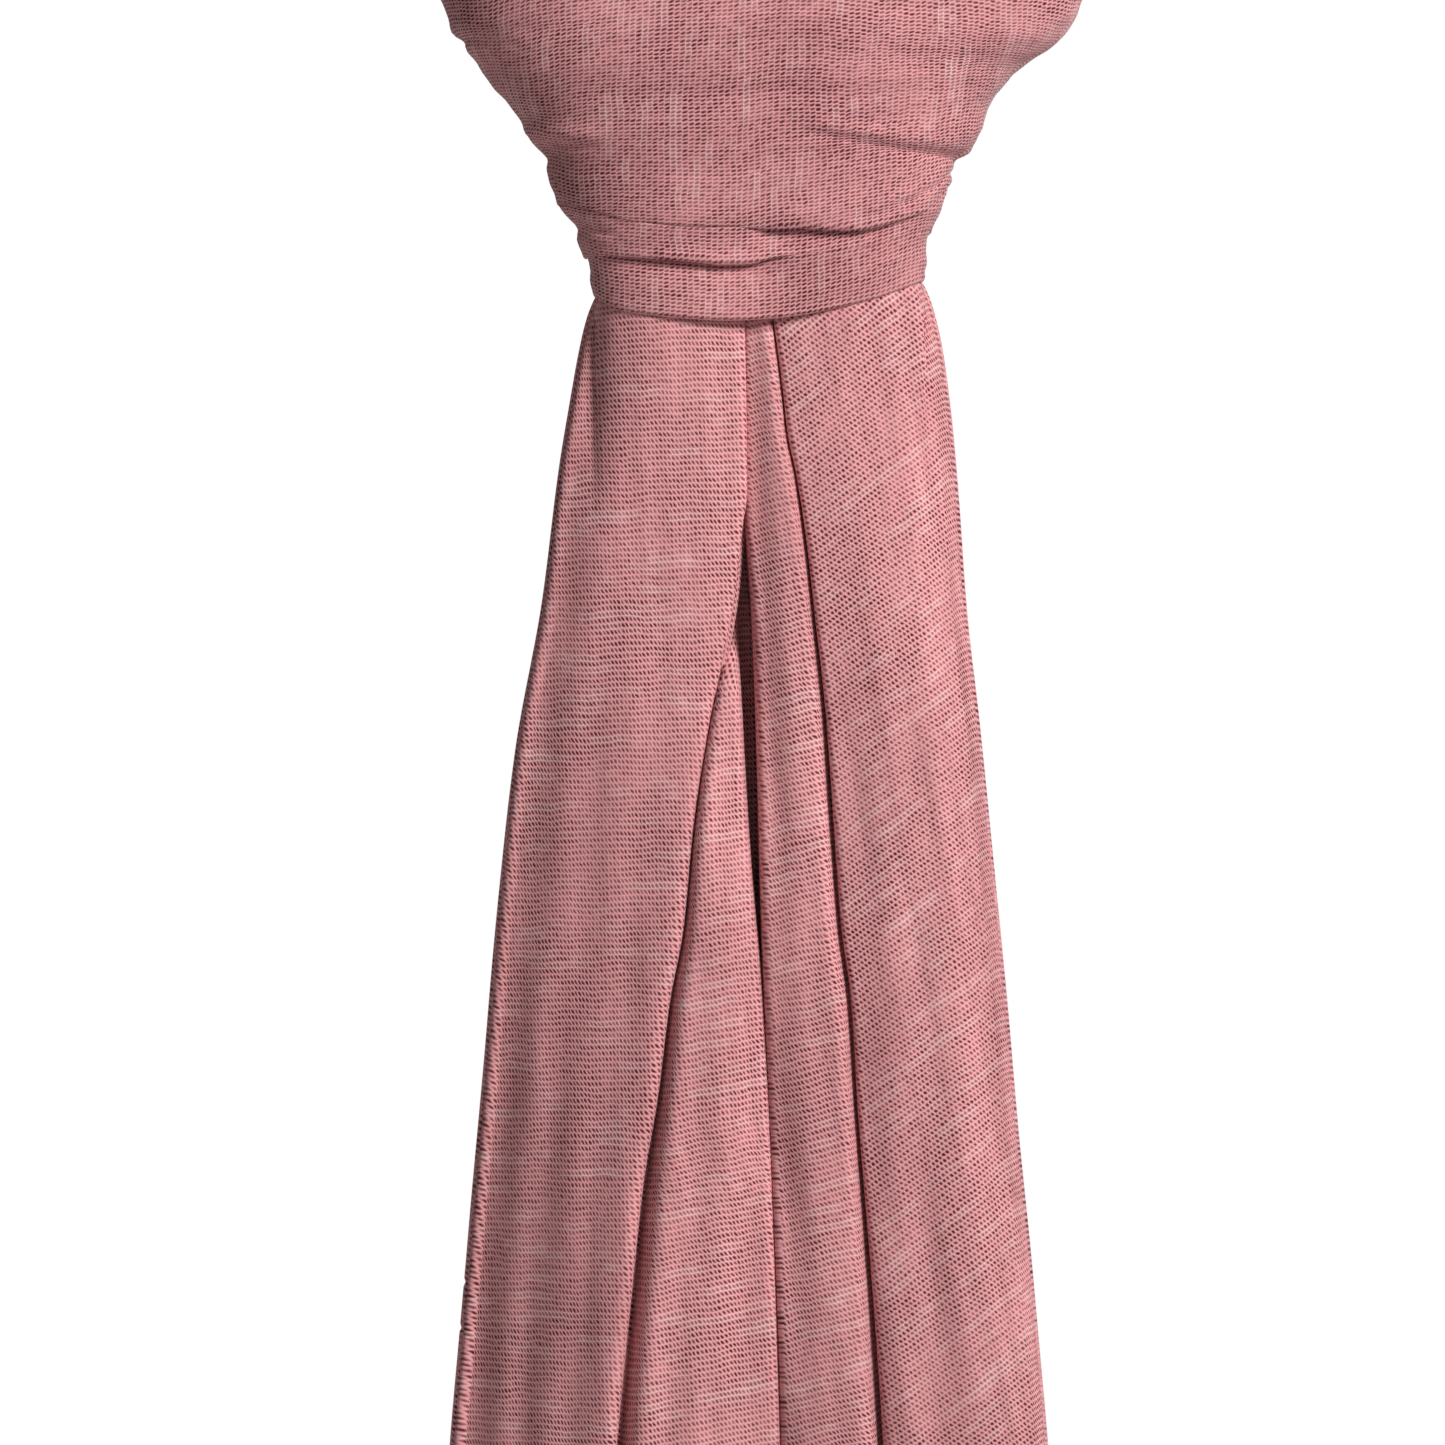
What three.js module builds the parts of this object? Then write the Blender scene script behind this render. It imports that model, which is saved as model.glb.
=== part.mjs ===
// A stretch-knit baby wrap: one long jersey cloth, folded end to end once and hitched over a rail.
// The doubled middle passes behind the rail, comes forward under it and crosses the front, and
// the two tails go up behind that crossing, over the rail and hang through it.
//
// Millimetres, +Z up, +X to the right seen from the front, and the front faces -Y. The origin is
// the middle of the rail's axis, which runs along X. The one cloth is split into stretches: those
// gripped by the hitch don't move, and each tail swings on its own below it.

import * as THREE from 'three';

// ---- Driving dimensions ----

const RAIL_PASSAGE = 14.3; // from the rail's axis to the cloth round it
const BUNDLE = 13; // gathered cloth, where a doubled tail turns over the rail
const SHEET = 5.5; // folded cloth across the front and round the sides
const PANEL = 4.6; // doubled and re-folded cloth in one pleat of a tail
const HEM = 5.6; // the same where the end is turned up and stitched
const GAP = 0.5; // air between two neighbouring stretches
const SIDE_GAP = 1.5; // the same where a side turn bends round its neighbours
const SIDE_CORNER = 14; // radius of a side turn as it reaches the back
const EDGE = 0.4; // how much of its thickness a stretch keeps at its rounded edge

const SHEET_TOP = 16; // upper edge of the crossing sheet
const RAIL_TURN = { inner: 3, outer: 74, edge: 0.2 }; // its two edges, and how thin it gets there
const RAIL_TURN_END = -18; // where the turns over the rail stop, before and behind it
const CROSSING_BACK = -15; // how far back the crossing sheet reaches at its sides
const LEG_END = -96; // where the back legs have run into the side turns
const HEAD_INNER = 1.5; // half the slit between the two tail heads
const HEAD_END = -107.5; // where the gathered tail heads stop inside the band
const SIDE_TOP = -20; // the side turns pass under the rail
const SIDE_END = -105; // lower edge of the side turns

const SHEET_END = { middle: -96.9, rise: 6 }; // lower edge of the sheet, and its rise at the sides
const BAND_TOP = { middle: -97.4, rise: 6 };
const BAND_END = { middle: -113.5, rise: 8 };

const SWING_X = 20.5; // each tail swings on a point this far from the middle
const SWING_Y = -2; // this far forward, over the tail's centre of mass
const SWING_Z = -114; // and this high, at the band's lower edge
const NECK_RADIUS = 6; // core of the tail where it bends
const NECK_LENGTH = 12;

const TAIL_TOP = -123.5; // below the neck, clear of it through the whole swing
const HEM_TOP = -978;
const TAIL_END = -1000;
const FRONT_BULGE = 2.5; // how far a front pleat crowns forward
const BACK_PLEAT = 0.62; // a back pleat's place, as a share of the tail's half depth
const PARTING = { top: -3.5, slope: 0.0215, half: 0.8 }; // the slit between the two tails

const CARE_LABEL = { width: 30, height: 45, thickness: 0.8, x: -52, top: -925 };
const CENTRE_MARKER = { width: 14, height: 22, thickness: 0.8, x: 84, top: -950 };

const ROSE = 0xb87c7e;
const LABEL_WHITE = 0xeee9e2;

// ---- Outlines, as [height, value] pairs from the top down ----

const HITCH_HALF_WIDTH = [
  [16, 82], [-10, 84], [-35, 80], [-48, 70], [-60, 60], [-70, 55.5],
  [-80, 50.5], [-90, 45.5], [-98, 43.5], [-114, 42],
];
const SHEET_FRONT = [[16, -31], [0, -35], [-20, -35], [-40, -32.5], [-60, -28.5], [-75, -25], [-97, -20]];
const BAND_FRONT = [[-90, -17.5], [-114, -16.8]];
const HEAD_FRONT = [[-18, -28.8], [-40, -26.4], [-60, -22.4], [-75, -18.9], [-86, -11], [-108, -10.6]];
const HEAD_BACK = [[-18, -14.3], [-35, -6], [-50, 2], [-70, 6], [-108, 6]];
const LEG_FRONT = [[-18, 14.3], [-50, 11.5], [-97, 10.2]];
const LEG_BACK = [[-18, 27], [-50, 23], [-97, 18]];
const LEG_INNER = [[-18, 2], [-60, 8], [-97, 20]];
const SIDE_BACK = [[-20, 25], [-50, 23], [-105, 17]];
const TAIL_HALF_DEPTH = [[-123, 8.5], [-400, 12], [-1000, 15]];

const LEFT_OUTER = [
  [-123, -44.5], [-150, -48.5], [-225, -60], [-310, -69], [-396, -76.7], [-600, -91], [-1000, -110],
];
const LEFT_FRONT_FOLD = [
  [-123, -6], [-165, -6], [-217, -13.7], [-285, -23], [-396, -36.5], [-600, -52], [-1000, -65],
];
const LEFT_INNER_HIDDEN = [[-123, -34], [-285, -46], [-396, -56], [-600, -68], [-1000, -84]];
const RIGHT_OUTER = [
  [-123, 44.5], [-140, 47], [-217, 54], [-320, 63.7], [-396, 71], [-600, 84.5], [-1000, 103],
];
const RIGHT_FRONT_FOLD = [
  [-123, 5.5], [-153, 10], [-187, 14.5], [-285, 23.5], [-396, 31.7], [-600, 43], [-1000, 55],
];
const RIGHT_MIDDLE_HIDDEN = [[-123, 24], [-285, 40], [-396, 48], [-600, 60], [-1000, 78]];

// ---- Geometry ----

/** Reads a value off an outline, straight between its points. */
function at(outline, z) {
  const below = outline.findIndex(([height]) => height <= z);
  if (below === -1) return outline.at(-1)[1];
  if (below === 0) return outline[0][1];
  const [zAbove, valueAbove] = outline[below - 1];
  const [zBelow, valueBelow] = outline[below];
  return valueAbove + ((valueBelow - valueAbove) * (zAbove - z)) / (zAbove - zBelow);
}

/** count + 1 evenly spaced numbers from start to end. */
function spaced(start, end, count) {
  return Array.from({ length: count + 1 }, (_, i) => start + ((end - start) * i) / count);
}

/** The share of its thickness that a stretch has at u, from -1 at one edge to 1 at the other. */
const rounded = (u) => EDGE + (1 - EDGE) * Math.sqrt(1 - u ** 4);

/** How far a full, flat-topped curve has risen at u, from 0 at u = -1 and 1 to 1 in the middle. */
const crown = (u) => (1 - Math.min(1, Math.abs(u)) ** 4) ** 0.25;

/**
 * A closed solid from stations along a stretch of cloth. Each station is a list of pairs of
 * points, [outer, inner], across the cloth, and all stations have as many pairs.
 */
function stretch(stations) {
  const pairs = stations[0].length;
  const ringSize = 2 * pairs;
  const rings = stations.map((station) => [
    ...station.map(([outer]) => outer),
    ...station.map(([, inner]) => inner).reverse(),
  ]);
  const faces = [];
  const quad = (a, b, c, d) => faces.push(a, b, c, a, c, d);
  for (let s = 0; s + 1 < stations.length; s++) {
    for (let i = 0; i < ringSize; i++) {
      const next = (i + 1) % ringSize;
      quad(s * ringSize + i, s * ringSize + next, (s + 1) * ringSize + next, (s + 1) * ringSize + i);
    }
  }
  const last = (stations.length - 1) * ringSize;
  for (let i = 0; i + 1 < pairs; i++) {
    const back = ringSize - 1 - i;
    quad(i, back, back - 1, i + 1);
    quad(last + i, last + i + 1, last + back - 1, last + back);
  }
  return outward(new Float32Array(rings.flat(2)), faces);
}

/** The geometry of these faces, turned over if they enclose a negative volume. */
function outward(positions, faces) {
  const corner = (i) => new THREE.Vector3().fromArray(positions, 3 * faces[i]);
  let volume = 0;
  for (let i = 0; i < faces.length; i += 3) {
    volume += corner(i).dot(corner(i + 1).cross(corner(i + 2)));
  }
  const geometry = new THREE.BufferGeometry();
  geometry.setAttribute('position', new THREE.BufferAttribute(positions, 3));
  geometry.setIndex(volume < 0 ? [...faces].reverse() : faces);
  geometry.computeVertexNormals();
  return geometry;
}

/** A stretch that crosses the front, between two lower and upper edges that rise at the sides. */
function crossing(front, top, end, rows, columns) {
  const edge = ({ middle, rise }, u) => middle + rise * u * u;
  const point = (u, z, inset) => {
    const across = Math.sin((u * Math.PI) / 2);
    const halfWidth = at(HITCH_HALF_WIDTH, z) - inset;
    const depth = at(front, z) + inset - CROSSING_BACK;
    return [halfWidth * across, CROSSING_BACK + depth * crown(across), z];
  };
  return stretch(spaced(0, 1, rows).map((down) => spaced(-1, 1, columns).map((u) => {
    const z = edge(top, u) + (edge(end, u) - edge(top, u)) * down;
    return [point(u, z, 0), point(u, z, SHEET)];
  })));
}

function crossingSheet() {
  return crossing(SHEET_FRONT, { middle: SHEET_TOP, rise: 0 }, SHEET_END, 9, 12);
}

function crossingBand() {
  return crossing(BAND_FRONT, BAND_TOP, BAND_END, 2, 12);
}

/** Cloth that comes from the crossing round one side, under the rail, to the back. */
function sideTurn(side) {
  return stretch(spaced(SIDE_TOP, SIDE_END, 8).map((z) => {
    const outer = at(HITCH_HALF_WIDTH, z);
    const back = at(SIDE_BACK, z);
    const front = CROSSING_BACK + GAP;
    const along = (y) => [[side * outer, y, z], [side * (outer - SHEET), y, z]];
    const round = (turn) => [SIDE_CORNER, SIDE_CORNER - SHEET].map((radius) => [
      side * (outer - SIDE_CORNER + radius * Math.cos(turn)),
      back - SIDE_CORNER + radius * Math.sin(turn),
      z,
    ]);
    const straight = spaced(front, back - SIDE_CORNER, 2).slice(0, 2).map(along);
    return [...straight, ...spaced(0, Math.PI / 2, 3).map(round)];
  }));
}

/** Gathered cloth that climbs the back, from the side turn to the rail. */
function backLeg(side) {
  return stretch(spaced(RAIL_TURN_END - GAP, LEG_END, 5).map((z) => {
    const outer = at(HITCH_HALF_WIDTH, z) - SIDE_CORNER - SIDE_GAP;
    const inner = at(LEG_INNER, z);
    const middle = (at(LEG_FRONT, z) + at(LEG_BACK, z)) / 2;
    const half = (at(LEG_BACK, z) - at(LEG_FRONT, z)) / 2;
    return spaced(-1, 1, 5).map((u) => {
      const x = side * (inner + ((outer - inner) * (1 + u)) / 2);
      return [[x, middle - half * rounded(u), z], [x, middle + half * rounded(u), z]];
    });
  }));
}

/** Gathered cloth over the rail, from one side of it to the other. */
function railTurn(side) {
  const section = (place) => spaced(0, 1, 6).map((across) => {
    const x = RAIL_TURN.inner + (RAIL_TURN.outer - RAIL_TURN.inner) * across;
    const thickness = BUNDLE * Math.max(RAIL_TURN.edge, crown(x / RAIL_TURN.outer));
    return [place(RAIL_PASSAGE + thickness, side * x), place(RAIL_PASSAGE, side * x)];
  });
  const arc = spaced(0, Math.PI, 8).map((turn) =>
    section((radius, x) => [x, -radius * Math.cos(turn), radius * Math.sin(turn)]));
  const before = section((radius, x) => [x, -radius, RAIL_TURN_END]);
  const behind = section((radius, x) => [x, radius, RAIL_TURN_END]);
  return stretch([before, ...arc, behind]);
}

/** The gathered top of a tail, from the rail down behind the crossing and into the band. */
function tailHead(side) {
  return stretch(spaced(RAIL_TURN_END - GAP, HEAD_END, 8).map((z) => {
    const outer = at(HITCH_HALF_WIDTH, z) - SHEET - SIDE_GAP;
    const front = at(HEAD_FRONT, z);
    const back = at(HEAD_BACK, z);
    const edge = Math.max(front, CROSSING_BACK + GAP);
    return spaced(0, 1, 6).map((across) => {
      const x = HEAD_INNER + (outer - HEAD_INNER) * across;
      return [[side * x, edge + (front - edge) * crown(x / outer), z], [side * x, back, z]];
    });
  }));
}

/** The core of a tail where it leaves the band and bends. */
function tailNeck() {
  return new THREE.CylinderGeometry(NECK_RADIUS, NECK_RADIUS, NECK_LENGTH, 16);
}

/** The slit's side that a tail's panels end at: -1 for the left tail, 1 for the right. */
const partingEdge = (side, z) => PARTING.top + PARTING.slope * (TAIL_TOP - z) + side * PARTING.half;

/** One pleat of a tail between two edges, set back from the tail's front by a depth. */
function pleat({ left, right, y, bulge }, top, end, thickness, rows) {
  return stretch(spaced(top, end, rows).map((z) => spaced(-1, 1, 6).map((u) => {
    const x = left(z) + ((right(z) - left(z)) * (1 + u)) / 2;
    const middle = y(z) - bulge * (1 - u * u);
    const half = (thickness / 2) * rounded(u);
    return [[x, middle - half, z], [x, middle + half, z]];
  })));
}

const halfDepth = (z) => at(TAIL_HALF_DEPTH, z);

const LEFT_PLEATS = {
  front: {
    left: (z) => at(LEFT_OUTER, z),
    right: (z) => at(LEFT_FRONT_FOLD, z),
    y: (z) => -halfDepth(z),
    bulge: FRONT_BULGE,
  },
  inner: {
    left: (z) => at(LEFT_INNER_HIDDEN, z),
    right: (z) => partingEdge(-1, z),
    y: (z) => HEM + GAP - halfDepth(z),
    bulge: 0,
  },
  back: {
    left: (z) => at(LEFT_OUTER, z) + 1,
    right: (z) => partingEdge(-1, z),
    y: (z) => BACK_PLEAT * halfDepth(z),
    bulge: 0,
  },
};

const RIGHT_PLEATS = {
  front: {
    left: (z) => at(RIGHT_FRONT_FOLD, z),
    right: (z) => at(RIGHT_OUTER, z),
    y: (z) => -halfDepth(z),
    bulge: FRONT_BULGE,
  },
  middle: {
    left: (z) => partingEdge(1, z),
    right: (z) => at(RIGHT_MIDDLE_HIDDEN, z),
    y: (z) => HEM + GAP - halfDepth(z),
    bulge: 0,
  },
  back: {
    left: (z) => partingEdge(1, z),
    right: (z) => at(RIGHT_OUTER, z) - 1,
    y: (z) => BACK_PLEAT * halfDepth(z),
    bulge: 0,
  },
};

// ---- The object ----

const knit = () => new THREE.MeshStandardMaterial({ color: ROSE, roughness: 0.9, metalness: 0 });
const satin = () => new THREE.MeshStandardMaterial({ color: LABEL_WHITE, roughness: 0.6, metalness: 0 });

const wrap = new THREE.Group();

function add(parent, name, geometry, material = knit()) {
  const mesh = new THREE.Mesh(geometry, material);
  mesh.name = name;
  parent.add(mesh);
  return mesh;
}

/** A sewn-in tag that hangs from its upper edge, behind the back pleat. */
function tag(parent, name, { width, height, thickness, x, top }) {
  const mesh = add(parent, name, new THREE.BoxGeometry(width, thickness, height), satin());
  const seamY = BACK_PLEAT * halfDepth(top - height) + HEM / 2 + GAP + thickness / 2;
  mesh.position.set(x, seamY, top - height / 2);
}

add(wrap, 'crossing_sheet', crossingSheet());
add(wrap, 'crossing_band', crossingBand());

for (const [name, side, pleats] of [['left', -1, LEFT_PLEATS], ['right', 1, RIGHT_PLEATS]]) {
  add(wrap, `${name}_side_turn`, sideTurn(side));
  add(wrap, `${name}_back_leg`, backLeg(side));
  add(wrap, `${name}_rail_turn`, railTurn(side));
  add(wrap, `${name}_tail_head`, tailHead(side));
  add(wrap, `${name}_tail_neck`, tailNeck()).position.set(side * SWING_X, SWING_Y, SWING_Z);

  const tail = new THREE.Group();
  for (const [place, panel] of Object.entries(pleats)) {
    add(tail, `${name}_${place}_pleat`, pleat(panel, TAIL_TOP, HEM_TOP, PANEL, 10));
    add(tail, `${name}_${place}_end`, pleat(panel, HEM_TOP - GAP, TAIL_END, HEM, 1));
  }
  wrap.add(tail);
}

tag(wrap, 'care_label', CARE_LABEL);
tag(wrap, 'centre_marker', CENTRE_MARKER);

export default wrap;
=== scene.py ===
"""A dusty-rose jersey baby wrap, hitched over a rail, with two pleated tails.

The cloth is built as thick sheets in metres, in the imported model's frame. The hitch is one cloth
swept from tail head to tail head; each tail is a doubled cloth folded into pleats.
"""
import math

import bpy
import numpy as np
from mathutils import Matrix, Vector


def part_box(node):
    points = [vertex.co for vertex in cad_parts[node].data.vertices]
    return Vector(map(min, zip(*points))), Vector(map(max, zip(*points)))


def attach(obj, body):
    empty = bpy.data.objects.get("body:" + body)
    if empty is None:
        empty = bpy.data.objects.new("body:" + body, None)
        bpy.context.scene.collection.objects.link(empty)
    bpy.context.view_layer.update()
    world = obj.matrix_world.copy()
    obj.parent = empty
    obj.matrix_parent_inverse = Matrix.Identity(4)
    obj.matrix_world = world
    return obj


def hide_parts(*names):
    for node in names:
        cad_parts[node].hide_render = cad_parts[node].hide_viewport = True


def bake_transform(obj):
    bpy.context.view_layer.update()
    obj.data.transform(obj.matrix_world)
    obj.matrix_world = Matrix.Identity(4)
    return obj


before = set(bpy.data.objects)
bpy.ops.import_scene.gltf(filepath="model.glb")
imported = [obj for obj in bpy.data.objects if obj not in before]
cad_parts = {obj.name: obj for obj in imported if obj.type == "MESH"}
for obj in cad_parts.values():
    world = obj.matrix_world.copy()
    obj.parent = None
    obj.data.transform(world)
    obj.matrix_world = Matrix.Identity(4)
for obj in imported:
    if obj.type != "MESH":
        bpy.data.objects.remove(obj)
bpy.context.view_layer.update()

MM = 0.001

# ---- Places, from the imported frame, in millimetres ----

def box_mm(node):
    low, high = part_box(node)
    return np.array(low) / MM, np.array(high) / MM

TAIL_END = box_mm("left_front_end")[0][2]
HEM_TOP = box_mm("left_front_pleat")[0][2]

# ---- Camera ----

FRAME_WIDTH = 361.25
VIEW_CENTRE = (-9.4, -20.0, -215.6)
CAMERA_DISTANCE = 1500.0
SENSOR = 36.0

camera_data = bpy.data.cameras.new("camera")
camera_data.sensor_width = SENSOR
camera_data.lens = SENSOR * CAMERA_DISTANCE / FRAME_WIDTH
camera = bpy.data.objects.new("camera", camera_data)
camera.location = Vector(VIEW_CENTRE) * MM - Vector((0, CAMERA_DISTANCE * MM, 0))
camera.rotation_euler = (math.radians(90), 0, 0)
bpy.context.collection.objects.link(camera)
bpy.context.scene.camera = camera

# ---- Curves and noise ----

def profile(points, z):
    """Reads an outline of [height, value] pairs, from the top down, with smooth turns."""
    heights, values = np.array(points, float).T
    z = np.clip(z, heights[-1], heights[0])
    order = np.argsort(heights)
    h, v = heights[order], values[order]
    slopes = np.diff(v) / np.diff(h)
    tangents = np.concatenate([[slopes[0]], np.zeros(len(h) - 2), [slopes[-1]]])
    same = slopes[:-1] * slopes[1:] > 0
    w1, w2 = 2 * np.diff(h)[1:] + np.diff(h)[:-1], np.diff(h)[1:] + 2 * np.diff(h)[:-1]
    with np.errstate(divide="ignore", invalid="ignore"):
        inner = (w1 + w2) / (w1 / slopes[:-1] + w2 / slopes[1:])
    tangents[1:-1] = np.where(same, inner, 0)
    i = np.clip(np.searchsorted(h, z) - 1, 0, len(h) - 2)
    step = h[i + 1] - h[i]
    t = (z - h[i]) / step
    return (
        (1 + 2 * t) * (1 - t) ** 2 * v[i] + t * (1 - t) ** 2 * step * tangents[i]
        + t * t * (3 - 2 * t) * v[i + 1] + t * t * (t - 1) * step * tangents[i + 1]
    )

def smooth(a, b, x):
    t = np.clip((x - a) / (b - a), 0, 1)
    return t * t * (3 - 2 * t)

def wave(x, y, seed, scale_x, scale_y):
    """Soft random relief from -1 to 1, as a few crossed sine waves."""
    local = np.random.default_rng(seed)
    total = 0
    for _ in range(5):
        angle = local.uniform(0, 2 * np.pi, 3)
        across = x / scale_x * (0.6 + local.random()) * np.cos(angle[0]) * 2 * np.pi
        total = total + np.sin(
            across + y / scale_y * (0.6 + local.random()) * np.sin(angle[0]) * 2 * np.pi + angle[1])
    return total / 5

# ---- Meshes ----

def normals_of(points):
    """Unit normals of a grid of points, rows x columns x 3."""
    along = np.gradient(points, axis=1)
    down = np.gradient(points, axis=0)
    n = np.cross(along, down)
    length = np.linalg.norm(n, axis=2, keepdims=True)
    return n / np.maximum(length, 1e-9)

def linked(name, data):
    """A new object in the scene."""
    piece = bpy.data.objects.new(name, data)
    bpy.context.collection.objects.link(piece)
    return piece

def thick_sheet(name, points, uv, thickness, material):
    """A closed sheet of cloth round a grid of points, in millimetres, with its own weave map."""
    rows, columns = points.shape[:2]
    normal = normals_of(points)
    half = np.broadcast_to(np.asarray(thickness, float), (rows, columns))[..., None] / 2
    vertices = np.concatenate([(points + way * normal * half).reshape(-1, 3) for way in (-1, 1)])
    index = np.arange(rows * columns).reshape(rows, columns)
    a, b, c, d = index[:-1, :-1], index[:-1, 1:], index[1:, 1:], index[1:, :-1]
    front = np.stack([a, d, c, b], axis=-1).reshape(-1, 4)
    back = np.stack([a, b, c, d], axis=-1).reshape(-1, 4) + rows * columns
    rim_path = np.concatenate([index[0, :], index[1:, -1], index[-1, -2::-1], index[-2:0:-1, 0]])
    rim_next = np.roll(rim_path, -1)
    rim = np.stack([rim_path, rim_next, rim_next + rows * columns, rim_path + rows * columns], axis=-1)
    faces = np.concatenate([front, back, rim])
    mesh = bpy.data.meshes.new(name)
    mesh.vertices.add(len(vertices))
    mesh.vertices.foreach_set("co", (vertices * MM).astype(np.float32).ravel())
    mesh.loops.add(faces.size)
    mesh.loops.foreach_set("vertex_index", faces.astype(np.int32).ravel())
    mesh.polygons.add(len(faces))
    mesh.polygons.foreach_set("loop_start", np.arange(0, faces.size, 4, dtype=np.int32))
    mesh.polygons.foreach_set("loop_total", np.full(len(faces), 4, dtype=np.int32))
    mesh.update(calc_edges=True)
    mesh.polygons.foreach_set("use_smooth", np.ones(len(faces), bool))
    both = np.concatenate([uv.reshape(-1, 2)] * 2)
    layer = mesh.uv_layers.new(name="weave")
    layer.data.foreach_set("uv", both[faces.ravel()].astype(np.float32).ravel())
    mesh.materials.append(material)
    mesh.validate()
    piece = linked(name, mesh)
    return piece

# ---- Knit material ----

WALE = 1.0    # stitch columns, mm apart
COURSE = 1.5  # stitch rows, mm apart

class Nodes:
    """Short calls for building a node tree."""

    def __init__(self, tree):
        self.tree = tree

    def new(self, kind, **settings):
        node = self.tree.nodes.new(kind)
        for key, value in settings.items():
            setattr(node, key, value)
        return node

    def put(self, socket, value):
        if isinstance(value, bpy.types.NodeSocket):
            self.tree.links.new(value, socket)
        else:
            socket.default_value = value

    def math(self, operation, *values, clamp=False):
        node = self.new("ShaderNodeMath", operation=operation, use_clamp=clamp)
        for socket, value in zip(node.inputs, values):
            self.put(socket, value)
        return node.outputs[0]

    def vector(self, x, y, z=0.0):
        node = self.new("ShaderNodeCombineXYZ")
        for socket, value in zip(node.inputs, (x, y, z)):
            self.put(socket, value)
        return node.outputs[0]

    def noise(self, vector, scale=1.0, detail=1.0, roughness=0.5):
        node = self.new("ShaderNodeTexNoise")
        self.put(node.inputs["Vector"], vector)
        node.inputs["Scale"].default_value = scale
        node.inputs["Detail"].default_value = detail
        node.inputs["Roughness"].default_value = roughness
        return node.outputs["Fac"]

    def span(self, value, low, high, out_low=0.0, out_high=1.0):
        node = self.new("ShaderNodeMapRange", interpolation_type="SMOOTHSTEP")
        for key, number in zip(("Value", "From Min", "From Max", "To Min", "To Max"),
                               (value, low, high, out_low, out_high)):
            self.put(node.inputs[key], number)
        return node.outputs[0]

    def half_cosine(self, turns):
        """A wave between -0.5 and 0.5, once a turn."""
        return self.math("MULTIPLY", self.math("COSINE", self.math("MULTIPLY", turns, math.tau)), 0.5)

    def mix(self, factor, a, b):
        node = self.new("ShaderNodeMix", data_type="RGBA")
        self.put(node.inputs[0], factor)
        self.put(node.inputs[6], a)
        self.put(node.inputs[7], b)
        return node.outputs[2]

def rgb(red, green, blue):
    """A linear colour from 0-255 screen values."""
    def linear(value):
        value /= 255
        return value / 12.92 if value <= 0.04045 else ((value + 0.055) / 1.055) ** 2.4
    return (linear(red), linear(green), linear(blue), 1.0)

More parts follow.
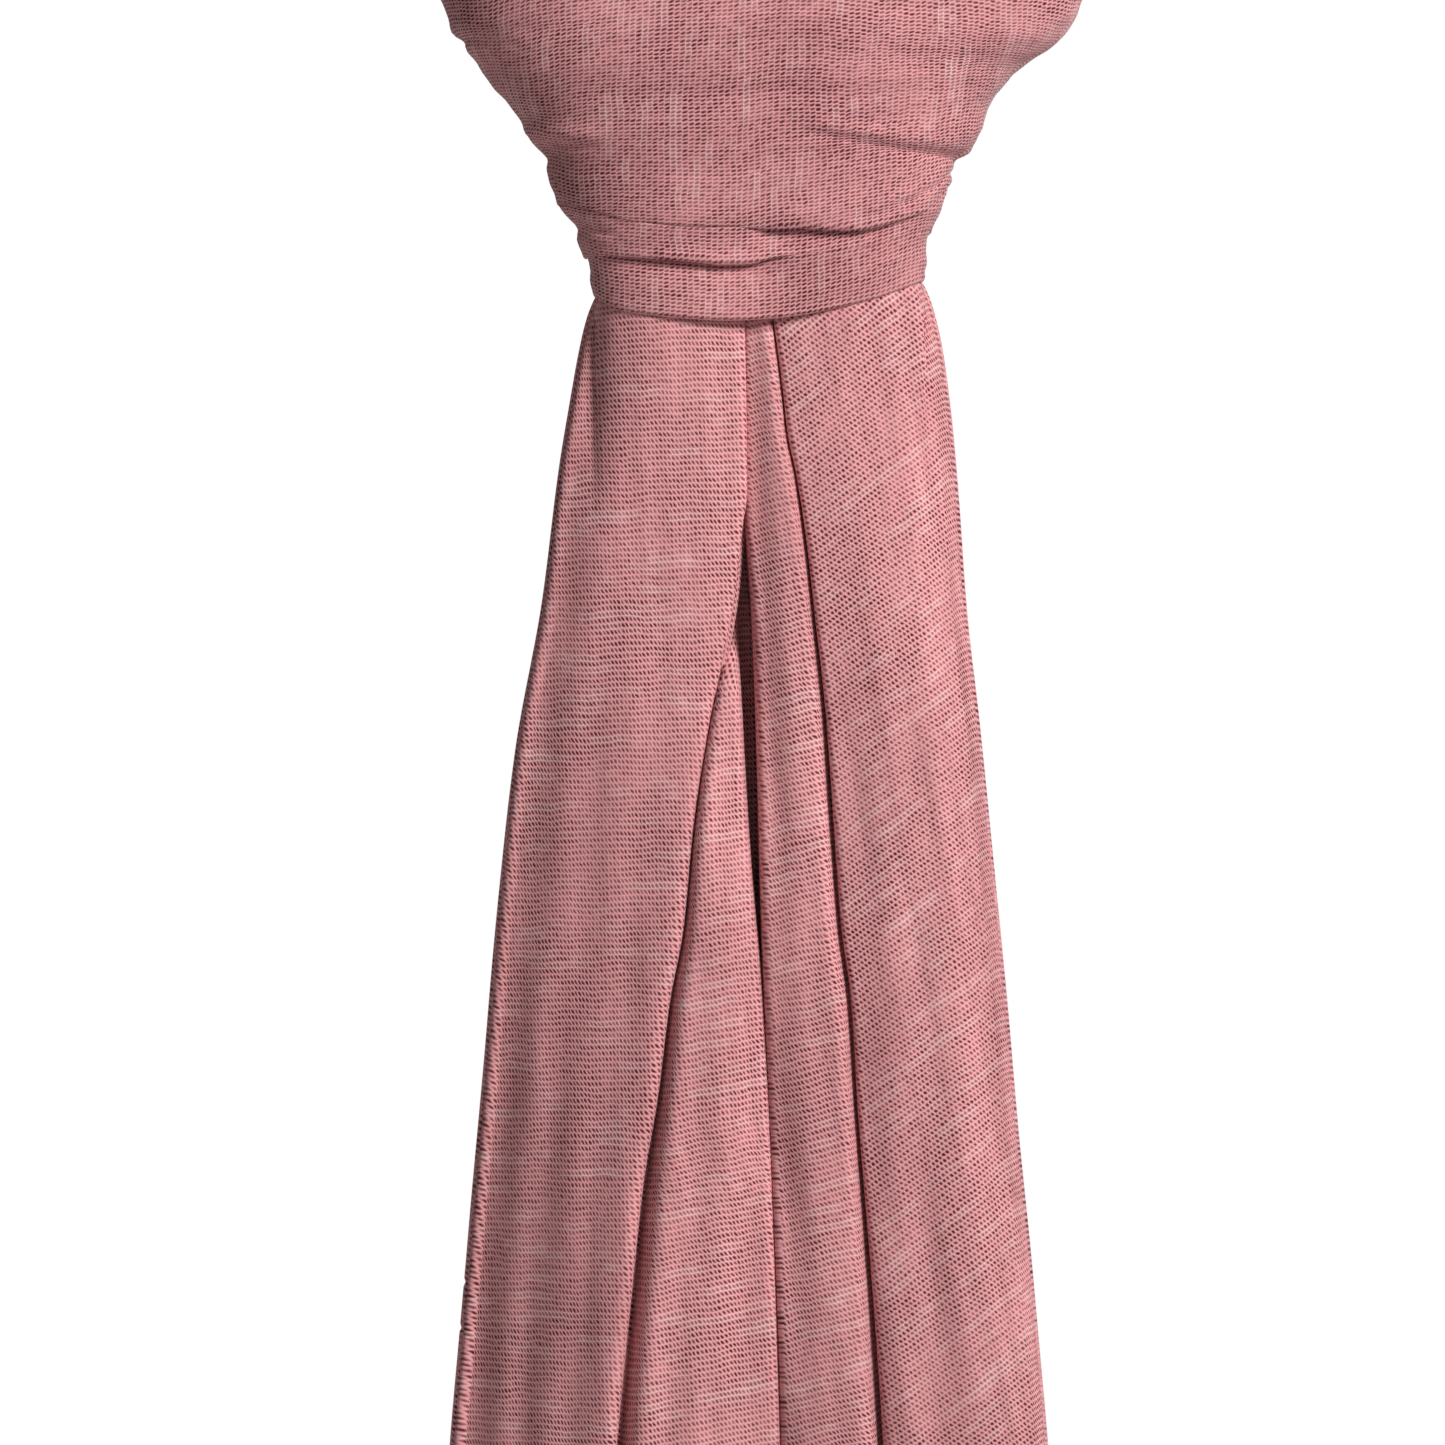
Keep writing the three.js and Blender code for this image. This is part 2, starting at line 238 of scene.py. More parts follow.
def knit_material(name, light, dark, pale, lean=0.75, gap=0.5):
    """Single jersey: rows of slanted stitches with dark gaps, slubs along the rows, soft sheen."""
    material = bpy.data.materials.new(name)
    material.use_nodes = True
    tree = material.node_tree
    shader = tree.nodes["Principled BSDF"]
    n = Nodes(tree)
    weave = n.new("ShaderNodeUVMap", uv_map="weave").outputs[0]
    split = n.new("ShaderNodeSeparateXYZ")
    n.put(split.inputs[0], weave)
    across, along = split.outputs[0], split.outputs[1]

    drift = n.noise(weave, scale=0.11, detail=2.0)
    jitter = n.noise(n.vector(along, across), scale=0.9, detail=1.0)
    across = n.math("ADD", across, n.math("MULTIPLY", n.math("SUBTRACT", jitter, 0.5), 0.55))
    along = n.math("ADD", along, n.math("MULTIPLY", n.math("SUBTRACT", drift, 0.5), 1.2))

    row_phase = n.math("FRACT", along)
    column = n.math("ADD", across, n.math("MULTIPLY", n.math("SUBTRACT", row_phase, 0.5), lean))
    column_wave = n.math("ADD", n.half_cosine(column), 0.5)
    row_wave = n.math("SUBTRACT", 0.5, n.half_cosine(along))
    dash = n.math("MULTIPLY", n.math("POWER", column_wave, 0.75), n.math("POWER", row_wave, gap))

    stitch = n.new("ShaderNodeTexWhiteNoise", noise_dimensions="2D")
    n.put(stitch.inputs["Vector"], n.vector(n.math("ROUND", column), n.math("FLOOR", along)))
    uneven = n.noise(weave, scale=0.05, detail=3.0)
    depth = n.math("MULTIPLY", n.span(stitch.outputs["Value"], 0, 1, 0.82, 1.15),
                   n.span(uneven, 0.3, 0.7, 0.8, 1.15))
    dash = n.math("MULTIPLY", dash, depth, clamp=True)

    row = n.math("FLOOR", along)
    streak = n.noise(n.vector(n.math("MULTIPLY", across, 0.05), n.math("MULTIPLY", row, 1.37)), detail=2.0)
    slub = n.span(streak, 0.55, 0.66)
    thin = n.span(streak, 0.44, 0.28)
    cloud = n.noise(weave, scale=0.022, detail=4.0, roughness=0.6)

    between = n.math("POWER", n.math("SUBTRACT", 1.0, row_wave), 1.5)
    ground = n.mix(n.math("MULTIPLY", n.math("MULTIPLY", slub, 0.9), between), light, pale)
    ground = n.mix(n.math("MULTIPLY", thin, 0.1), ground, dark)
    wales = n.noise(n.vector(n.math("MULTIPLY", across, 0.16), n.math("MULTIPLY", along, 0.012)), detail=2.0)
    shade = n.math("ADD", n.span(cloud, 0.35, 0.65, 0.0, 0.14), n.span(wales, 0.38, 0.66, 0.0, 0.14))
    ground = n.mix(shade, ground, dark)
    colour = n.mix(n.math("MULTIPLY", dash, n.span(slub, 0, 1, 1.0, 0.8)), ground, dark)
    n.put(shader.inputs["Base Color"], colour)
    shader.inputs["Roughness"].default_value = 0.88
    shader.inputs["Specular IOR Level"].default_value = 0.25
    shader.inputs["Sheen Weight"].default_value = 0.12
    shader.inputs["Sheen Roughness"].default_value = 0.5

    fuzz = n.noise(weave, scale=2.3, detail=2.0)
    height = n.math("ADD", n.math("MULTIPLY", dash, -1.0), n.math("MULTIPLY", slub, 0.5))
    height = n.math("ADD", height, n.math("MULTIPLY", fuzz, 0.35))
    bump = n.new("ShaderNodeBump")
    bump.inputs["Strength"].default_value = 0.6
    bump.inputs["Distance"].default_value = 0.00025
    n.put(bump.inputs["Height"], height)
    n.put(shader.inputs["Normal"], bump.outputs[0])
    return material

YARN = {"light": rgb(253, 176, 178), "dark": rgb(80, 24, 31), "pale": rgb(255, 209, 208)}
KNIT = knit_material("rose_knit", **YARN)
SIDEWAYS_KNIT = knit_material("rose_knit_sideways", lean=0.4, gap=0.22, **YARN)      # the hitch's

# ---- Tails ----

# Outlines are [height, place across] pairs for each fold of a tail, in millimetres.
TAIL_TOP = -101.0
SECTION = 2.6       # roundness of the hitch's front: 2 is an ellipse, more is squarer
SIDE_Y = 2.0
BAND_INSIDE = (41.0, -12.6)       # half width and front of the space inside the band
CREASE = [(-101, -3.8), (-159, -3.5), (-175, -2.3), (-185, -1.5), (-217, -0.2), (-285, 1.5), (-340, 3.7),
          (-396, 5.5), (-600, 8.5), (-1000, 15)]
LEFT = {
    "outer": [(-101, -37), (-107, -39.6), (-113, -42), (-121, -43.9), (-134, -46.2), (-150, -48.8),
              (-185, -53.3), (-223, -60.2), (-265, -65), (-310, -69), (-340, -71.8), (-374, -74.8),
              (-396, -76.8), (-600, -91), (-1000, -109)],
    "front": [(-101, -4.6), (-130, -4.2), (-158, -4), (-165, -5), (-175, -6.1), (-185, -7.3), (-217, -13.7),
              (-242, -17.5), (-268, -20.1), (-285, -23.3), (-310, -26.5), (-331, -30), (-356, -32.7),
              (-392, -36.3), (-600, -52), (-1000, -66)],
    "inner": [(-101, -6.5), (-185, -6.4), (-217, -5), (-249, -3), (-285, 0.2), (-342, 3.2), (-396, 4.9),
              (-600, 7.8), (-1000, 14)],
    "tilts": (2, 2, 3, 3, 10, 6, 6, 6),
    "lean": 2,
    "turn": [(-101, 0.02), (-180, 0.13), (-300, 0.44), (-400, 0.62), (-1000, 0.52)],
}
RIGHT = {
    "outer": [(-101, 37), (-106, 40.5), (-112, 42.6), (-121, 44.6), (-140, 47), (-159, 48.6), (-187, 50.6),
              (-217, 54), (-255, 57.8), (-285, 60.8), (-320, 63.8), (-349, 66.8), (-377, 69.3), (-396, 71),
              (-600, 84.5), (-1000, 102)],
    "front": [(-101, 2.5), (-113, 4), (-124, 5.5), (-134, 6.8), (-143, 7.8), (-153, 10), (-175, 13.2),
              (-187, 14.5), (-214, 17.5), (-242, 19.5), (-268, 21.5), (-285, 23.8), (-313, 25.5), (-338, 27.5),
              (-360, 29.3), (-396, 31.8), (-600, 43), (-1000, 56)],
    "inner": CREASE,
    "tilts": (36, 36, 20, 15, 14, 10, 10, 10),
    "lean": 10,
    "turn": [(-101, 0.0), (-400, 0.04), (-1000, 0.1)],
}
HALF_DEPTH = [(-101, 8.6), (-150, 9.8), (-250, 11.5), (-400, 13), (-1000, 15)]
RUNS = 8            # lengths of cloth between one fold and the next
FRONT_RUN, INNER_RUN, BACK_RUN = 1, 4, 7
LEVELS = (1, 0, 2, 3, 4, 5, 6, 7)       # depth order of the runs, 0 in front
VISIBLE_RUNS = ((FRONT_RUN, 1), (INNER_RUN, -1), (BACK_RUN, 1))       # and which way each one faces
RUN_STEPS = (8, 46, 14, 14, 46, 20, 16, 26)
TURN_STEPS = 7
TURN_REACH = 2.2    # most that a fold's turn takes up across
BACK_TURN = 0.85    # share of the outer edge's turning back that is missing at the back

def tail_folds(shape, side, z):
    """Where each run of a tail's pleats starts and ends across, at heights z."""
    outer, front = profile(shape["outer"], z), profile(shape["front"], z)
    inner = profile(shape["inner"], z)
    slit = profile(CREASE, z) + side * 0.7
    hidden = outer + 0.3 * (front - outer)
    panel = front - outer
    return np.array([
        front - 0.3 * panel, front, outer,
        front + side * -1.0 * np.minimum(1.2, 0.2 + 0.01 * (TAIL_TOP - z)),
        hidden, inner, outer + side * 1.2, slit, outer - side * 5,
    ])

def tail_section(shape, side, z):
    """The path of the pleated cloth at height z: points x, y and which run each belongs to."""
    fold = tail_folds(shape, side, z)
    half = profile(HALF_DEPTH, z)
    step = (1.6 * half + 1) / (RUNS - 1)
    level = [-half - 1.0 + step * k for k in LEVELS]
    front, inner = fold[1], fold[5]
    opening = abs(inner - front)
    turn_away = profile(shape["turn"], z)
    xs, ys, run = [], [], []
    radius = [0.0] + [abs(level[k + 1] - level[k]) / 2 for k in range(RUNS - 1)] + [0.0]
    for k in range(RUNS):
        start, end = fold[k], fold[k + 1]
        direction = 1.0 if end > start else -1.0
        a = start + direction * min(radius[k], TURN_REACH)
        b = end - direction * min(radius[k + 1], TURN_REACH)
        t = np.linspace(0, 1, RUN_STEPS[k])
        x = a + (b - a) * t
        y = np.full_like(x, level[k])
        if k == FRONT_RUN:      # the front panel, crowned, rolling back at its outer edge
            y = y - 1.8 * np.sin(np.pi * t) ** 0.8 + 3.0 * smooth(0.72, 1.0, t) * smooth(-101, -150, z)
        elif k == INNER_RUN:    # comes forward where the front panel leaves it open
            toward = (x - front) * -side
            come = 0.22 * smooth(-6, 0, toward) + 0.78 * smooth(0, 1.6 + 0.14 * opening, toward)
            come = come * smooth(2.0, 7.0, opening)
            y = y - come * (4.3 * step) + 3.0 * smooth(0.8, 1.0, t) * smooth(2.0, 14.0, opening)
        elif k == BACK_RUN:     # softly gathered, but flat where the labels are
            gathers = 1 + np.sin(abs(x - fold[BACK_RUN]) / 21 * 2 * np.pi + 1.2 * math.sin(z / 160) + side)
            gathers = 1.1 * gathers * smooth(-150, -300, z) * smooth(-900, -800, z)
            y = y + 0.5 * np.sin(np.pi * t) + gathers * np.sin(np.pi * t) ** 0.5
        share = 1 - BACK_TURN * (y + half + 1) / (2 * half)
        y = y + turn_away * np.maximum(0, (x - front) * side) * share
        xs.append(x)
        ys.append(y)
        run.append(np.full(len(t), float(k)))
        if k + 1 < RUNS:
            turn = np.linspace(0, np.pi, TURN_STEPS + 2)[1:-1]
            y0, y1 = y[-1], level[k + 1]
            out_there = np.maximum(0, (b - front) * side)
            y1 = y1 + turn_away * out_there * (1 - BACK_TURN * (y1 + half + 1) / (2 * half))
            xs.append(b + direction * min(radius[k + 1], TURN_REACH) * np.sin(turn))
            ys.append((y0 + y1) / 2 + (y0 - y1) / 2 * np.cos(turn))
            run.append(k + turn / np.pi)
    return np.concatenate(xs), np.concatenate(ys), np.concatenate(run)

def under_band(x, y, z, half):
    """Bends the top of a tail to the rounded inside of the band."""
    share = (1 - np.minimum(abs(x) / BAND_INSIDE[0], 0.999) ** SECTION) ** (1 / SECTION)
    inside = SIDE_Y + (BAND_INSIDE[1] - SIDE_Y) * share
    bent = np.maximum(y, inside + 0.3 * (y + half + 1))
    return y + (bent - y) * smooth(-170, -113, z)

def tail_grid(shape, side, heights, seed):
    """The middle surface of one tail's pleats, with its weave map in stitches."""
    rows = [tail_section(shape, side, z) for z in heights]
    x = np.array([r[0] for r in rows])
    y = np.array([r[1] for r in rows])
    run = np.array([r[2] for r in rows])
    z = np.broadcast_to(np.asarray(heights)[:, None], x.shape)
    arc = np.concatenate([np.zeros((len(heights), 1)),
                          np.cumsum(np.hypot(np.diff(x, axis=1), np.diff(y, axis=1)), axis=1)], axis=1)
    free = smooth(-125, -260, z)
    flutter = 0.55 * np.sin(arc / 15 * 2 * np.pi + 2.5 * wave(z, 0 * z, seed, 400, 400) + run * 2.1)
    soft = wave(arc, z, seed + 1, 60, 260)
    y = y + free * (flutter * (0.35 + 0.65 * smooth(-200, -420, z)) + 0.9 * soft)
    y = under_band(x, y, z, profile(HALF_DEPTH, z))
    points = np.stack([x, y, z], axis=2)
    columns = np.arange(x.shape[1])
    known, wale = [], []
    reference = len(heights) // 3
    for k, facing in VISIBLE_RUNS:      # the stitch columns hang straight in the panels that show
        inside = np.flatnonzero(abs(run[0] - k) < 1e-6)
        middle = inside[len(inside) // 2]
        first = known[0][len(known[0]) // 2] if known else middle
        start = x[reference, first] + side * (arc[reference, middle] - arc[reference, first])
        hang = x[:, middle] - x[reference, middle] + z[:, middle] * math.tan(math.radians(shape["lean"]))
        known.append(inside)
        wale.append(side * (arc[:, inside] - arc[:, middle:middle + 1]) + facing * hang[:, None] + start)
    u = np.empty_like(x)
    joined = np.concatenate(known)
    for row in range(len(heights)):
        values = np.concatenate([w[row] for w in wale])
        u[row] = np.interp(arc[row], arc[row, joined], values)
        before = columns < joined[0]
        u[row, before] = values[0] + side * (arc[row, before] - arc[row, joined[0]])
    tilt = np.tan(np.radians(np.interp(run[0], np.arange(RUNS), shape["tilts"])))
    dx = np.diff(x, axis=1)
    climb = np.cumsum(dx * (tilt[1:] + tilt[:-1]) / 2, axis=1)
    climb = np.concatenate([np.zeros((len(heights), 1)), climb], axis=1)
    fixed = known[0][len(known[0]) // 2]
    v = z - (climb - climb[:, fixed:fixed + 1])
    uv = np.stack([u / WALE, v / COURSE], axis=2)
    return points, uv

def offset(points, distance):
    return points + normals_of(points) * np.asarray(distance)[..., None]

CLOTH = 0.55       # thickness of one layer
NEST = 1.15        # from the middle of one layer to the middle of the next

def make_tail(name, shape, side, seed):
    heights = np.concatenate([np.linspace(TAIL_TOP, -200, 60), np.linspace(-200, -420, 96)[1:],
                              np.linspace(-420, HEM_TOP + 1, 112)[1:], np.linspace(HEM_TOP + 1, TAIL_END, 24)[1:]])
    points, uv = tail_grid(shape, side, heights, seed)
    gap = NEST * (0.78 + 0.22 * smooth(-110, -160, heights))[:, None] * np.ones(points.shape[:2])
    if side > 0:    # the middle of the long cloth, folded over at the bottom
        gap = gap * (1 - 0.5 * smooth(TAIL_END + 5, TAIL_END, heights))[:, None]
        thickness = CLOTH * np.ones_like(gap)
    else:           # cut ends, turned up and stitched
        thickness = CLOTH * (1 + 0.8 * smooth(HEM_TOP + 0.6, HEM_TOP - 0.6, heights))[:, None] * np.ones_like(gap)
    outer, inner = offset(points, -side * gap / 2), offset(points, side * gap / 2)
    if side < 0:
        hem_row = np.argmin(abs(heights - (HEM_TOP - 1.8)))
        hem_paths["left_hem_stitching"] = outer[hem_row], 1
        hem_paths["left_inner_hem_stitching"] = inner[hem_row], -1
    return [
        thick_sheet(f"{name}_tail_outer_layer", outer, uv, thickness, KNIT),
        thick_sheet(f"{name}_tail_inner_layer", inner, uv * [-1, 1] + [0.5, 40.0], thickness, KNIT),
    ]

hem_paths = {}      # name of each row of stitches: its path, and the side of it that faces out
tail_pieces = {
    "left": make_tail("left", LEFT, -1, 11),
    "right": make_tail("right", RIGHT, 1, 23),
}

# ---- Hitch ----

# Half widths and the front's depth as [height, millimetres] pairs.
LEFT_EDGE = [(16, 78), (-20, 83.5), (-30, 81.2), (-35, 79.5), (-40.5, 77.5), (-43, 74.6), (-45, 74.0),
             (-49, 71.2), (-55.5, 66.2), (-61, 61.8), (-64.3, 59.2), (-67.5, 58.4), (-69.8, 56.2),
             (-71.5, 54.6), (-73, 53.8), (-77.5, 53.2), (-83.3, 51.3), (-88, 48), (-90.8, 46), (-93, 46.1),
             (-96.5, 44.4), (-99.3, 43.3), (-105, 42.4), (-109, 41.5), (-114, 41.2)]
RIGHT_EDGE = [(16, 78), (-20, 83.5), (-30, 82), (-35, 80.6), (-37.3, 79.8), (-42.5, 75.6), (-47.5, 69.2),
              (-51.3, 63.7), (-55.5, 60.3), (-61, 57.2), (-67.8, 54.9), (-70.5, 53), (-73, 48.9),
              (-76.8, 48.4), (-81, 47.5), (-86, 45.8), (-90.3, 43.3), (-93.8, 42.2), (-99.3, 42),
              (-101.5, 41.6), (-105, 42), (-114, 41.4)]
FRONT_DEPTH = [(16, -30.5), (0, -34), (-20, -34.3), (-40, -31.8), (-60, -27.6), (-75, -24), (-88, -20.5),
               (-97, -17.2), (-106, -15.6), (-114, -14.9)]

# Heights of the lines that run along the cloth, read at the share of the half width from -1 to 1.
LINES = {
    "top": [(-1, -20), (-0.9, -8), (-0.7, 7), (-0.4, 13.5), (0, 15), (0.4, 13.5), (0.7, 7), (0.9, -8),
            (1, -20)],
    "upper": [(-1, -31), (-0.6, -34), (0, -35), (0.6, -34), (1, -31)],
    "middle": [(-1, -66), (-0.5, -70.5), (0, -71.5), (0.5, -70.5), (1, -65)],
    "lip": [(-1, -84), (-0.6, -90.5), (-0.3, -91.7), (0, -91.5), (0.13, -91.2), (0.26, -90.8),
            (0.41, -91.2), (0.56, -91.2), (0.68, -90.2), (0.79, -88.6), (0.91, -86), (0.97, -82), (1, -78)],
    "band": [(-1, -97.2), (-0.56, -98.3), (-0.37, -99), (-0.22, -99.7), (-0.06, -99.5), (0.07, -98.4),
             (0.22, -98.2), (0.6, -96.5), (1, -91)],
    "edge": [(-1, -107), (-0.9, -110), (-0.66, -112), (-0.43, -113), (-0.2, -113.5), (0.02, -113.2),
             (0.25, -112.1), (0.48, -110.1), (0.7, -107.7), (0.85, -105.3), (1, -102.6)],
}
# Where each of those lines goes next, from the silhouette to the back and up: x, y, z on the right.
BACKWARD = {
    "top": [(80, 12, -19), (72, 22, -15), (71, 25.5, -7), (71.5, 25, 3)],
    "upper": [(78, 12, -29), (66, 22.5, -24), (57, 25.8, -16), (53, 26.6, -6)],
    "middle": [(55, 12, -61), (46, 21, -53), (37.5, 24, -38), (31, 26, -18)],
    "lip": [(46, 12.5, -78), (39, 20.5, -70), (28.5, 22.6, -56), (20, 25, -30)],
    "band": [(41.5, 12.5, -90), (34, 19.3, -84), (22, 20.8, -72), (12.5, 23.8, -45)],
    "edge": [(40, 12, -101), (30, 18, -96), (17.5, 19.2, -84), (8, 22.5, -56)],
}
OVER_RAIL = {"top": 71.5, "upper": 51, "middle": 30, "lip": 19, "band": 11, "edge": 4}       # x over the rail
TURN_ANGLES = (10, 50, 90, 130, 170)
DOWN_INSIDE = {      # x at each height below the rail, behind the crossing
    "top": (66, 46, 34, 33), "upper": (50, 36, 28, 27), "middle": (29, 22, 18, 18),
    "lip": (18, 14, 12, 12), "band": (10, 8, 7, 7), "edge": (3, 2.6, 2.6, 2.6),
}
INSIDE = ((-25, -26), (-65, -18.5), (-88, -9), (-106, -8))      # height and depth of those places

LINE_NAMES = list(LINES)
LINE_ROWS = (26, 34, 22, 10, 18)      # rows of cloth between one line and the next
# How far down and out each row of a tuck stands.
TUCK = [(0.3, 0.9), (-0.5, 0.9), (-0.9, 0.3), (-0.8, -0.5), (-0.2, -1.1), (0.7, -1.5), (1.5, -1.9),
        (1.9, -2.3), (1.5, -2.7), (0.5, -2.8), (-0.6, -2.7)]

FRONT_COLUMNS = 150
SPAN_COLUMNS = 14
GATHERS = 9.5       # across the cloth, behind and over the rail

def read(line, q):
    """Height of a line at a share q of the half width."""
    shares, heights = np.array(line).T
    return -profile([(-a, -b) for a, b in zip(shares, heights)], -q)

def line_at(between, fraction, q):
    first, second = LINE_NAMES[between], LINE_NAMES[between + 1]
    return (1 - fraction) * read(LINES[first], q) + fraction * read(LINES[second], q)

def crease_strength(name, q):
    """How deep a crease is, from 0 to 1, at a share q of the half width."""
    if name == "lip":
        return smooth(-0.12, 0.16, q) * (1 - 0.15 * smooth(0.6, 1.0, q)) + 0.25 * smooth(-0.6, -0.95, q)
    return smooth(0.24, -0.05, q) * (0.35 + 0.65 * smooth(-1.0, -0.45, q))

def dents(x, z):
    """Soft folds of the front, as millimetres outwards."""
    out = 0 * x
    for curve, up, down, width in (
        ([(8, -67.5), (22, -69.7), (33, -71.5), (43, -72.4), (50, -73)], 1.0, 1.3, 1.0),
        ([(-60, -66), (-57.5, -67.5), (-52, -69.6), (-46, -70.8), (-38, -71)], 0.9, 1.1, 0.9),
        ([(-54, -72.5), (-50.8, -79.5), (-48, -86), (-43.8, -90.2), (-34, -93.7)], 0.5, 1.1, 0.9),
        ([(30, -87), (38, -84), (44, -80.5), (48, -76)], 0.8, 1.2, 0.7),
        ([(-80, -41), (-70, -44), (-58, -46)], 0.6, 0.9, 1.0),
        ([(80, -39), (70, -44.5), (58, -48)], 0.5, 0.6, 1.2),
    ):
        cx, cz = np.array(curve, float).T
        order = np.argsort(cx)
        d = z - np.interp(x, cx[order], cz[order])
        reach = 0.3 * np.ptp(cx)
        if cx.min() > 0:
            fade = smooth(cx.min() - 1, cx.min() + reach, x)
        else:
            fade = smooth(cx.max() + 1, cx.max() - reach, x)
        ridge = up * np.exp(-((d - 2.0 * width) / (1.9 * width)) ** 2)
        out = out + fade * (ridge - down * np.exp(-((d + 0.3) / (0.85 * width)) ** 2))
    return out

def spline(stations, columns):
    """A smooth curve through stations (rows x stations x 3), with this many columns a span."""
    step = np.linalg.norm(np.diff(stations, axis=1), axis=2, keepdims=True)
    slope = np.diff(stations, axis=1) / step
    inner = (slope[:, :-1] * step[:, 1:] + slope[:, 1:] * step[:, :-1]) / (step[:, 1:] + step[:, :-1])
    tangent = np.concatenate([slope[:, :1], inner, slope[:, -1:]], axis=1)
    pieces = []
    for i in range(stations.shape[1] - 1):
        t = (np.arange(columns) / columns)[None, :, None]
        a, b, h = stations[:, i:i + 1], stations[:, i + 1:i + 2], step[:, i:i + 1]
        pieces.append(
            (1 + 2 * t) * (1 - t) ** 2 * a + t * (1 - t) ** 2 * h * tangent[:, i:i + 1]
            + t * t * (3 - 2 * t) * b + t * t * (t - 1) * h * tangent[:, i + 1:i + 2])
    return np.concatenate(pieces + [stations[:, -1:]], axis=1)

def hitch_grid(inset, seed):
    """The hitched cloth, from inside the band on the left, over and round, to the same on the right."""
    theta = np.linspace(-np.pi / 2, np.pi / 2, FRONT_COLUMNS)
    power = 2 / SECTION
    q_front = np.sign(theta) * np.abs(np.sin(theta)) ** power
    depth_share = np.abs(np.cos(theta)) ** power
    rows = []       # (between lines, fraction, down, out, crease name)
    for between, count in enumerate(LINE_ROWS):
        for i in range(count):
            rows.append((between, i / count, 0.0, 0.0, None))
        end = LINE_NAMES[between + 1]
        if end in ("lip", "band"):
            rows += [(between, 1.0, down, out, end) for down, out in TUCK]
    rows.append((len(LINE_ROWS) - 1, 1.0, 0.0, 0.0, None))
    front = []
    for between, fraction, down, out, crease in rows:
        z = line_at(between, fraction, q_front)
        push = 0 * z
        if crease:
            a = crease_strength(crease, q_front)
            z = z + down * a * 1.15
            push = push + out * a * 1.1
        for name, index in (("lip", 2), ("band", 3)):
            a = crease_strength(name, q_front)
            gap_above = line_at(between, fraction, q_front) - read(LINES[name], q_front)
            if between <= index and not crease:
                push = push + a * 0.9 * np.exp(-(gap_above / 2.6) ** 2)
            if between > index and crease != name:
                push = push - a * 2.6 * np.exp(-(gap_above / 4.5) ** 2)
        half = np.where(q_front < 0, profile(LEFT_EDGE, z), profile(RIGHT_EDGE, z)) - inset
        depth = profile(FRONT_DEPTH, z) + inset
        x = q_front * half
        y = SIDE_Y + (depth - SIDE_Y) * depth_share
        facing = np.abs(np.cos(theta)) ** 0.5
        push = push + dents(x, z)
        x = x + np.sign(q_front) * push * (1 - facing) * 0.35
        front.append(np.stack([x, y - push * facing, z], axis=1))
    front = np.array(front)

    def side_part(side):
        stations = []
        for between, fraction, down, out, crease in rows:
            names = LINE_NAMES[between], LINE_NAMES[between + 1]
            def mixed(table):
                a, b = (np.array(table[n], float) for n in names)
                return (1 - fraction) * a + fraction * b
            back = mixed(BACKWARD)
            x_over = float(mixed(OVER_RAIL))
            inside_x = mixed(DOWN_INSIDE)
            crown = max(0.3, (1 - (x_over / 76) ** 4) ** 0.25)
            radius = 14.3 + 12.2 * crown - inset
            turn = [math.radians(a) for a in TURN_ANGLES]
            over = [(x_over, radius * math.cos(a), radius * math.sin(a)) for a in turn]
            down_in = []
            for x, (z, y) in zip(inside_x, INSIDE):
                edge = min(float(profile(LEFT_EDGE, z)), float(profile(RIGHT_EDGE, z))) - 7.5 - 0.3 * inset
                x = min(x, 0.96 * edge)
                share = (1 - (x / edge) ** SECTION) ** (1 / SECTION)
                inner_front = SIDE_Y + (float(profile(FRONT_DEPTH, z)) + 6.5 - SIDE_Y) * share
                down_in.append((x, max(y, inner_front) + 0.5 * inset, z))
            path = np.concatenate([back, over, down_in])
            path[:len(back), 1] -= inset * 0.9
            path[:2, 0] -= inset * 0.7
            if crease:
                path[:2, 0] += out * 0.5 * np.array([0.8, 0.3])
                path[:2, 2] += down * 0.8
            stations.append(path * [side, 1, 1])
        start = front[:, -1:] if side > 0 else front[:, :1]
        near = front[:, -4:-3] if side > 0 else front[:, 3:4]
        stations = np.concatenate([near, start, np.array(stations)], axis=1)
        return spline(stations, SPAN_COLUMNS)[:, SPAN_COLUMNS + 1:]

    left, right = side_part(-1)[:, ::-1], side_part(1)
    points = np.concatenate([left, front, right], axis=1)
    column = np.arange(points.shape[1])
    first, last = left.shape[1], left.shape[1] + FRONT_COLUMNS
    away = np.maximum(first - column, column - last) / SPAN_COLUMNS
    q = np.clip((column - first) / FRONT_COLUMNS * 2 - 1, -1, 1)
    amount = (0.2 * smooth(0.45, 1.0, abs(q)) + 0.9 * smooth(0, 3, away) - 0.1 * smooth(4, 6, away)
              - 0.3 * smooth(9, 11, away))
    share = np.concatenate([[0], np.cumsum(np.linalg.norm(np.diff(points, axis=0), axis=2).mean(axis=1))])
    share = (share / share[-1])[:, None]
    drift = share + 0.018 * np.sin(away / 2.1 + seed) + 0.012 * np.sin(away / 0.9)
    phase = 2 * np.pi * GATHERS * drift
    pleats = np.sin(phase) + 0.35 * np.sin(2.3 * phase + 1.0 + seed)
    edges = smooth(0, 0.05, share) * smooth(1, 0.93, share)
    points = points - normals_of(points) * (amount * pleats * edges)[..., None] * 1.15
    tucked = np.array([crease is not None for *_, crease in rows])
    return points, tucked

